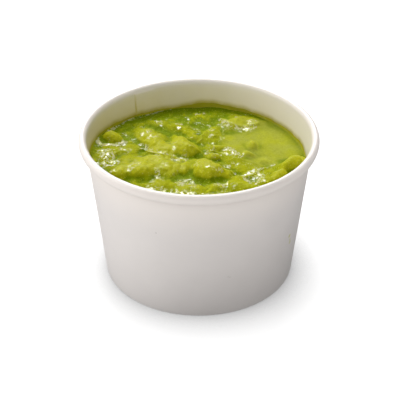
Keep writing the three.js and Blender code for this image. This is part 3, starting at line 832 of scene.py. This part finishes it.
flat_top = top.reshape(-1, 3)
border = edge_loop(CELLS)
rim_points = flat_top[border]
border_angle = np.degrees(np.arctan2(rim_points[:, 1], rim_points[:, 0]))
film_top = np.maximum(wet_line(border_angle % 360), rim_points[:, 2] + 0.2)
share = np.linspace(0, 1, FILM_ROWS + 1)[1:, None]
film_z = rim_points[None, :, 2] * (1 - share) + film_top[None, :] * share
film_depth = FILM_FOOT * (1 - share) ** 2 + FILM_THICK
film_depth[-1] = -TUCK
film_r = wall_radius(film_z, border_angle[None, :]) - film_depth
cos, sin = np.cos(np.radians(border_angle)), np.sin(np.radians(border_angle))
film = np.stack([film_r * cos, film_r * sin, film_z], axis=-1)
floor_z = disc_top + 0.02
side_z = np.array([film_top, np.full(len(border), floor_z)])
side_r = wall_radius(side_z, border_angle[None, :]) + TUCK
side = np.stack([side_r * cos, side_r * sin, side_z], axis=-1)[1:]
rings = np.concatenate([film, side])
ring_quads = grid_faces(len(rings), len(border), close_columns=True, first=len(flat_top))
join = np.stack([border, np.roll(border, -1)], axis=1)
first_ring = len(flat_top) + np.arange(len(border))
join_quads = np.stack([join[:, 0], first_ring, np.roll(first_ring, -1), join[:, 1]], axis=1)
middle = len(flat_top) + rings.shape[0] * len(border)
last_ring = middle - len(border) + np.arange(len(border))
base = np.stack([last_ring, np.full(len(border), middle), np.roll(last_ring, -1)], axis=1)
print("film from", round(float(rim_points[:, 2].min()), 1), "to", round(float(film_top.max()), 1), "mm")

# %% The filling's mesh
filling_points = np.vstack([flat_top, rings.reshape(-1, 3), [[0, 0, floor_z]]])
filling_quads = np.vstack([grid_faces(CELLS + 1, CELLS + 1), join_quads, ring_quads[:, ::-1]])
filling = make_piece("mushy_pea_filling", filling_points, filling_quads, base)
rest = len(filling_points) - len(flat_top)


def hollow_of(z, width):
    """How far a point lies below its neighbourhood: the blurred height less its own."""
    return melted(z, width) - z


def for_all(values, others):
    """Values of the top's points, with one value for the points of the film, side and underside."""
    return np.concatenate([values.ravel(), np.full(rest, others)])


# painted shade: hollows, the back left and the mash beside the wall are marked to be painted darker
NEIGHBOURHOOD = 8            # cells over which the height is blurred
DEEPEST = 1.5                # millimetres at which a hollow counts as full
BACK_LEFT_PAINTED_SHADE = 0.55            # extra depth of colour in the mash at the back left
WALL_PAINTED_SHADE = 0.25            # and all round, beside the wall
painted_hollow_shade = np.clip(hollow_of(top[..., 2], NEIGHBOURHOOD), -DEEPEST, DEEPEST)
back_left = smoothstep(14, 32, top[..., 1]) * smoothstep(20, 6, top[..., 0])
beside_wall = smoothstep(34, 40, np.hypot(top[..., 0], top[..., 1]))
painted_hollow_shade = painted_hollow_shade + BACK_LEFT_PAINTED_SHADE * back_left + WALL_PAINTED_SHADE * beside_wall
give_values(filling, "lump", for_all(lump_share, 0.0))
give_values(filling, "crumb", for_all(crumb, 0.0))
give_values(filling, "skin", for_all(skin, 0.0))
give_values(filling, "rough", for_all(rough, 0.3))
give_values(filling, "painted_hollow_shade", for_all(painted_hollow_shade, 0.4))
give_values(filling, "wet", for_all(wet, 0.3))
is_film = np.concatenate([np.zeros(len(flat_top)), np.ones(rest)])
give_values(filling, "film", is_film)

# %% [markdown]
# ## Building materials from nodes
#
# A material is a small network. These helpers keep the wiring short: one adds a node and fills its
# inputs with numbers or with other nodes' outputs, and the others are the few patterns used again and
# again. Colours are written as they look on screen, from 0 to 255, and turned into the linear numbers
# that light is computed with.

# %% Helpers for materials
def screen_colour(red, green, blue):
    """Linear colour from a screen colour: below 0.04 a straight line, above it a power of 2.4."""
    c = np.array([red, green, blue]) / 255
    linear = np.where(c <= 0.04045, c / 12.92, ((c + 0.055) / 1.055) ** 2.4)
    return (*[float(v) for v in linear], 1.0)


class Nodes:
    """One material's network, with its shader and its object coordinates at hand."""

    def __init__(self, name):
        self.material = bpy.data.materials.new(name)
        self.material.use_nodes = True
        self.tree = self.material.node_tree
        self.shader = self.tree.nodes["Principled BSDF"]
        self.place = self.add("ShaderNodeTexCoord").outputs["Object"]

    def add(self, kind, inputs=None, **settings):
        """A new node with its settings, and its inputs filled."""
        made = self.tree.nodes.new(kind)
        for key, value in settings.items():
            setattr(made, key, value)
        for key, value in (inputs or {}).items():
            self.put(made.inputs[key], value)
        return made

    def put(self, socket, value):
        """Links another node's output to an input, or sets the input to a number."""
        if isinstance(value, bpy.types.NodeSocket):
            self.tree.links.new(value, socket)
        else:
            socket.default_value = value

    def value(self, name):
        """One of the numbers stored for each point."""
        return self.add("ShaderNodeAttribute", attribute_name=name).outputs["Fac"]

    def noise(self, size_mm, detail=3.0, roughness=0.5, place=None):
        """Noise whose lumps are about size_mm across."""
        inputs = {"Vector": place or self.place, "Scale": 1 / (size_mm * MM), "Detail": detail,
                  "Roughness": roughness}
        return self.add("ShaderNodeTexNoise", inputs).outputs["Fac"]

    def fade(self, value, start, stop, low=0.0, high=1.0):
        """Maps start..stop smoothly to low..high, and stays there outside."""
        made = self.add("ShaderNodeMapRange", {
            "Value": value, "From Min": start, "From Max": stop, "To Min": low, "To Max": high},
            interpolation_type="SMOOTHSTEP")
        return made.outputs["Result"]

    def math(self, operation, a, b=0.0):
        """Arithmetic on two values."""
        made = self.add("ShaderNodeMath", operation=operation)
        self.put(made.inputs[0], a)
        self.put(made.inputs[1], b)
        return made.outputs["Value"]

    def mix(self, share, a, b):
        """Colour a where share is 0 and b where it is 1."""
        made = self.add("ShaderNodeMix", data_type="RGBA")
        self.put(made.inputs["Factor"], share)
        self.put(made.inputs[6], a)
        self.put(made.inputs[7], b)
        return made.outputs[2]

    def bump(self, height, depth_mm, strength=1.0, under=None):
        """Relief too fine for the mesh, on top of another bump where one is given."""
        inputs = {"Height": height, "Distance": depth_mm * MM, "Strength": strength}
        if under is not None:
            inputs["Normal"] = under
        return self.add("ShaderNodeBump", inputs).outputs["Normal"]


def wear(piece, nodes):
    """Gives the piece its material."""
    piece.data.materials.clear()
    piece.data.materials.append(nodes.material)


# %% [markdown]
# ## White board
#
# The board is bleached paper with a thin satin lining. It isn't flat white: fibres make it a little
# cloudy, and fine relief breaks its shine, and towards the rim it is painted lighter, which is painted
# light. Inside, the marks worked out above come in: board that is soaked turns olive, board above the
# tide line is painted darker and yellower, partly as a stain and partly as painted shade and bounce
# light from the mash, and the raw edge of the lap is yellow. Outside there are a few tiny marks of
# dirt, each a spot that fades away from its middle.

# %% Board material
# tiny marks of dirt outside: place and radius in millimetres, colour, how strong
DIRT = [
    ((34.4, -19.8, 25.0), 1.2, (206, 202, 120), 0.8),
    ((34.7, -18.9, 22.8), 0.9, (210, 206, 130), 0.7),
    ((34.8, -18.4, 21.2), 1.1, (206, 202, 120), 0.7),
    ((-15.6, -38.2, 38.9), 0.45, (160, 150, 140), 0.4),
    ((10.8, -37.5, 18.7), 0.4, (178, 168, 160), 0.35),
    ((11.5, -37.3, 18.4), 0.4, (178, 168, 160), 0.35),
]
PLAIN_BOARD = screen_colour(233, 227, 223)
CLOUDY_BOARD = screen_colour(227, 221, 217)
# painted light: the board is painted lighter towards the rim
PAINTED_LIGHT_UPPER_BOARD = screen_colour(240, 232, 225)
# partly stain, partly painted shade and bounce light: the darker, yellower inside
STAIN_AND_SHADE_BOARD = screen_colour(214, 198, 128)
SOAKED_BOARD = screen_colour(180, 167, 62)
RAW_EDGE = screen_colour(196, 180, 96)
# painted light: heights over which the board is painted lighter
PAINTED_LIGHT_HEIGHTS = (36 * MM, 53 * MM)  # the board gets lighter between these heights


def distance_to(n, place):
    """Distance of each point from a place, both in metres."""
    inputs = {0: n.place, 1: place}
    return n.add("ShaderNodeVectorMath", inputs, operation="DISTANCE").outputs["Value"]


def white_board():
    """Cloudy board: painted light near the rim, soak, stain and painted shade inside, dirt outside."""
    n = Nodes("white_board")
    cloud = n.noise(9, 2)
    fibre = n.noise(0.5, 2)
    base = n.mix(cloud, PLAIN_BOARD, CLOUDY_BOARD)
    high = n.add("ShaderNodeSeparateXYZ", {"Vector": n.place}).outputs["Z"]
    # painted light: lighter towards the rim
    base = n.mix(n.fade(high, *PAINTED_LIGHT_HEIGHTS, 0, 0.8), base, PAINTED_LIGHT_UPPER_BOARD)
    # partly stain, partly painted shade and bounce light inside the pot
    stain_and_shade_share = n.math("MULTIPLY", n.value("stain_and_painted_shade"), n.fade(n.noise(6, 3), 0.3, 0.7, 0.85, 1.0))
    base = n.mix(stain_and_shade_share, base, STAIN_AND_SHADE_BOARD)
    soaked = n.math("MULTIPLY", n.value("soaked"), n.fade(n.noise(2.2, 4), 0.25, 0.6, 0.75, 1.0))
    base = n.mix(soaked, base, SOAKED_BOARD)
    base = n.mix(n.value("seam_edge"), base, RAW_EDGE)
    for at, size, colour, share in DIRT:
        away = distance_to(n, [v * MM for v in at])
        near = n.fade(away, 0.3 * size * MM, size * MM, share, 0)
        base = n.mix(near, base, screen_colour(*colour))
    n.put(n.shader.inputs["Base Color"], base)
    n.put(n.shader.inputs["Roughness"], n.fade(fibre, 0.3, 0.7, 0.42, 0.54))
    n.put(n.shader.inputs["Normal"], n.bump(fibre, 0.03, 0.35, n.bump(cloud, 0.3, 0.15)))
    return n


wear(wall, white_board())

# %% Matt board of the bottom
def matt_board():
    """Unlined board, a little creamier and rougher."""
    n = Nodes("pot_base_board")
    fibre = n.noise(0.6, 4)
    base = n.mix(n.noise(6, 3), screen_colour(229, 224, 215), screen_colour(220, 214, 204))
    n.put(n.shader.inputs["Base Color"], base)
    n.put(n.shader.inputs["Roughness"], n.fade(fibre, 0.3, 0.7, 0.66, 0.82))
    n.put(n.shader.inputs["Normal"], n.bump(fibre, 0.05, 0.5))
    return n


wear(bottom, matt_board())

# %% [markdown]
# ## Pea mash
#
# Cooked pea is a wet, cloudy solid: light goes in, wanders about and comes out yellower, which is why
# thin edges glow and thick hollows look dark green. Subsurface scattering does the first part. The
# hollows, the mash at the back left and the mash beside the wall are also painted a darker green, which
# is painted shade. Where juice has pooled, the mash is painted pale, partly as starch and partly as
# painted glints, and a wet coat gives sharp glints. Elsewhere the mash is only moist, so its own shine
# is faint and broad.

# %% Colours of the mash
SMOOTH_MASH = screen_colour(160, 164, 56)
CRUMBLY_MASH = screen_colour(144, 150, 0)
YELLOW_PATCH = screen_colour(174, 176, 4)
WHOLE_PEA = screen_colour(186, 185, 34)
CRUMB_OF_PEA = screen_colour(198, 200, 34)
LOOSE_SKIN = screen_colour(200, 202, 84)
# painted shade: the darker green of hollows, the back left and beside the wall
PAINTED_HOLLOW_SHADE = screen_colour(103, 126, 0)
DARK_SPECK = screen_colour(110, 126, 0)
PALE_FLECK = screen_colour(214, 214, 104)
# partly starch, partly painted glints: the pale colour of the pools
STARCH_AND_PAINTED_GLINT = screen_colour(216, 213, 168)
FILM_ON_WALL = screen_colour(176, 166, 38)


def mash_colour(n, pool):
    """Plain mash first, then layers mixed over it: what lies on it, painted shade and painted glints."""
    rough, painted_hollow_shade = n.value("rough"), n.value("painted_hollow_shade")
    speck = n.noise(0.9, 4, 0.6)
    fleck = n.noise(0.55, 3, 0.6)
    patch = n.noise(6, 3, 0.55)
    colour = n.mix(n.fade(rough, 0, 1), SMOOTH_MASH, CRUMBLY_MASH)
    colour = n.mix(n.fade(patch, 0.35, 0.7, 0, 0.5), colour, YELLOW_PATCH)
    colour = n.mix(n.math("MULTIPLY", n.value("lump"), 0.7), colour, WHOLE_PEA)
    colour = n.mix(n.fade(n.value("crumb"), 0.0, 0.5, 0, 0.4), colour, CRUMB_OF_PEA)
    colour = n.mix(n.fade(n.value("skin"), 0.1, 0.6, 0, 0.35), colour, LOOSE_SKIN)
    # painted shade: hollows, back left and wall edge painted darker green
    colour = n.mix(n.fade(painted_hollow_shade, 0.05, 0.75, 0, 0.88), colour, PAINTED_HOLLOW_SHADE)
    colour = n.mix(n.fade(speck, 0.35, 0.75, 0.0, 0.3), colour, DARK_SPECK)
    pale = n.math("MULTIPLY", n.fade(fleck, 0.56, 0.72), n.fade(rough, 0, 1, 0.15, 0.5))
    colour = n.mix(pale, colour, PALE_FLECK)
    # partly starch, partly painted glints in the pools
    colour = n.mix(n.fade(pool, 0.28, 0.85, 0, 0.75), colour, STARCH_AND_PAINTED_GLINT)
    return n.mix(n.math("MULTIPLY", n.value("film"), 0.8), colour, FILM_ON_WALL)


# %% Relief of the mash
def mash_relief(n):
    """Three bumps on top of each other: grain, small unevenness, and ripples where it is wet."""
    grain = n.bump(n.noise(0.5, 3, 0.6), 0.12, 0.5)
    uneven = n.bump(n.noise(1.4, 3, 0.6), 0.45, 0.7, grain)
    ripple = n.math("MULTIPLY", n.noise(1.1, 3, 0.6), n.fade(n.value("wet"), 0.2, 0.9, 0.1, 1.0))
    return n.bump(ripple, 0.5, 0.8, uneven)


# %% Mash material
def pea_mash():
    """Cloudy, moist mash, smoother on its lumps, with a broken wet coat where juice has pooled."""
    n = Nodes("pea_mash")
    broken = n.fade(n.noise(1.1, 4, 0.65), 0.40, 0.58, 0.05, 1.0)
    open_place = n.fade(n.value("painted_hollow_shade"), 0.4, 1.1, 1.0, 0.4)
    pool = n.math("MULTIPLY", n.math("MULTIPLY", n.value("wet"), open_place), broken)
    smoother = n.math("MULTIPLY", n.value("lump"), n.noise(2.5, 3))
    n.put(n.shader.inputs["Base Color"], mash_colour(n, pool))
    n.put(n.shader.inputs["Roughness"], n.fade(smoother, 0.0, 0.5, 0.8, 0.36))
    n.shader.inputs["IOR"].default_value = 1.36
    n.shader.inputs["Specular IOR Level"].default_value = 0.06
    n.shader.inputs["Subsurface Weight"].default_value = 0.6
    n.shader.inputs["Subsurface Radius"].default_value = (1.0, 0.95, 0.2)
    n.shader.inputs["Subsurface Scale"].default_value = 1.6 * MM
    n.put(n.shader.inputs["Coat Weight"], n.fade(pool, 0.05, 0.8, 0.0, 0.8))
    n.shader.inputs["Coat Roughness"].default_value = 0.07
    n.shader.inputs["Coat IOR"].default_value = 1.38
    n.put(n.shader.inputs["Normal"], mash_relief(n))
    return n


wear(filling, pea_mash())

# %% [markdown]
# ## What rides on what
#
# The pot has no moving parts, so every piece rides on the one body, and each stands for its solid.

# %% Ride and replace
for piece, node in ((wall, "pot_wall"), (bottom, "pot_bottom"), (filling, "mushy_peas")):
    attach(piece, "root")
    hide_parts(node)

# %% [markdown]
# ## Floor and light
#
# The picture is a plain product shot: a white sweep, a big soft light high behind the pot, a weaker
# one to its left and one at the left side, faint ones in front and at the right, and white all round.
# A light behind is what makes wet food look wet, because it glances off the top of the mash towards
# the camera. So one more light there, called shine, gives reflections only.
#
# The floor glows, so that it is pure white, and a soft shadow is painted into its glow: darker where
# things nearby hide the sky, and deeper towards the right. What it throws back at the pot is left to a
# second sheet just under it, which the camera doesn't see and which is darker under the pot.

# %% Floor
FLOOR_HALF = 3.0             # metres
WHITE, GREY, BLACK = (1, 1, 1, 1), (0.30, 0.30, 0.30, 1), (0, 0, 0, 1)
corner_signs = ((-1, -1), (1, -1), (1, 1), (-1, 1))
square = [(sign_x * FLOOR_HALF, sign_y * FLOOR_HALF, 0) for sign_x, sign_y in corner_signs]


def floor_sheet(name, nodes, z=0.0):
    """A large square at a height, which belongs to the stage and not to the part."""
    mesh = bpy.data.meshes.new(name)
    mesh.from_pydata(square, [], [(0, 1, 2, 3)])
    mesh.materials.append(nodes.material)
    sheet = bpy.data.objects.new(name, mesh)
    sheet.location.z = z
    scene.collection.objects.link(sheet)
    return sheet


# painted shadow: the floor's glow is dimmed where nearby things hide the sky, more to the right
HIDES_SKY = 45 * MM          # how near a thing must be to darken the floor
OPEN_RANGE = (0.37, 0.86)    # open part of the sky where the shadow is deepest, and where it ends
FLOOR_GLOW = (0.28, 0.92)    # brightness of the floor in the deepest shadow, and outside it
SHADOW_REACH = 0.12          # metres to the left and right over which the shadow changes
SHADOW_LEAN = 0.032          # how much deeper it is at the right end than in the middle
sweep = Nodes("white_sweep")
sweep.shader.inputs["Base Color"].default_value = GREY
sweep.shader.inputs["Roughness"].default_value = 0.9
sweep.shader.inputs["Emission Color"].default_value = WHITE
# painted shadow in the floor's glow
openness = sweep.add("ShaderNodeAmbientOcclusion", {"Distance": HIDES_SKY}, samples=12).outputs["AO"]
sideways = sweep.add("ShaderNodeSeparateXYZ", {"Vector": sweep.place}).outputs["X"]
lean = sweep.fade(sideways, -SHADOW_REACH, SHADOW_REACH, -SHADOW_LEAN, SHADOW_LEAN)
openness = sweep.math("SUBTRACT", openness, lean)
sweep.put(sweep.shader.inputs["Emission Strength"], sweep.fade(openness, *OPEN_RANGE, *FLOOR_GLOW))
floor = floor_sheet("floor", sweep)
floor.visible_diffuse = False
floor.visible_glossy = False

# %% What the floor gives back
BOUNCE = (0.20, 1.00)        # brightness of the floor as the pot sees it, under the pot and far away
SHADOW_MIDDLE = (0.028, -0.006, 0.0)  # middle of the dark part, a little to the right, in metres
SHADOW_EDGE = (0.040, 0.112)  # distances from there over which it gets light, in metres
SHEET_DROP = 0.5 * MM        # how far below the floor the second sheet lies
glow = Nodes("bounce")
glow.shader.inputs["Base Color"].default_value = BLACK
glow.shader.inputs["Emission Color"].default_value = WHITE
strength = glow.fade(distance_to(glow, SHADOW_MIDDLE), *SHADOW_EDGE, *BOUNCE)
glow.put(glow.shader.inputs["Emission Strength"], strength)
bounce = floor_sheet("bounce", glow, -SHEET_DROP)
bounce.visible_camera = False
bounce.visible_glossy = False

# %% Lights
LIGHTS_AIM = Vector((0.0, 0.0, 40.0)) * MM


def soft_light(name, place, size, power, shines=True):
    """A square area light that looks at the peas; place and size in metres, power in watts.

    One that doesn't shine lights the pot but leaves no reflection on it."""
    data = bpy.data.lights.new(name, "AREA")
    data.size, data.energy = size, power
    light = bpy.data.objects.new(name, data)
    light.location = place
    light.visible_camera = False
    light.visible_glossy = shines
    light.rotation_euler = (LIGHTS_AIM - Vector(place)).to_track_quat("-Z", "Y").to_euler()
    scene.collection.objects.link(light)
    return light


soft_light("key", (-0.35, 0.45, 0.75), 0.30, 1.7)
soft_light("back", (0.0, 0.50, 0.85), 0.50, 5.5)
shine = soft_light("shine", (-0.10, 0.62, 0.78), 0.44, 14.0)
shine.visible_diffuse = False
soft_light("left", (-0.80, 0.0, 0.35), 0.60, 3.3)
soft_light("fill_front", (0.0, -0.45, 0.22), 0.30, 0.16, shines=False)
soft_light("fill_high", (0.0, -0.50, 0.50), 0.30, 1.0, shines=False)
soft_light("fill_right", (0.80, 0.0, 0.35), 0.60, 0.5, shines=False)

# %% The room
ABOVE, BELOW = 0.20, 0.52    # brightness of the white room's upper and lower half
HORIZON = 0.1                # the two blend between this far below and this far above the horizon
world = bpy.data.worlds.new("white_room")
world.use_nodes = True
room = world.node_tree
background = room.nodes["Background"]
background.inputs["Color"].default_value = WHITE
way = room.nodes.new("ShaderNodeTexCoord")
split = room.nodes.new("ShaderNodeSeparateXYZ")
blend = room.nodes.new("ShaderNodeMapRange")
room.links.new(way.outputs["Generated"], split.inputs["Vector"])
room.links.new(split.outputs["Z"], blend.inputs["Value"])
for name, value in (("From Min", -HORIZON), ("From Max", HORIZON), ("To Min", BELOW), ("To Max", ABOVE)):
    blend.inputs[name].default_value = value
room.links.new(blend.outputs["Result"], background.inputs["Strength"])
scene.world = world
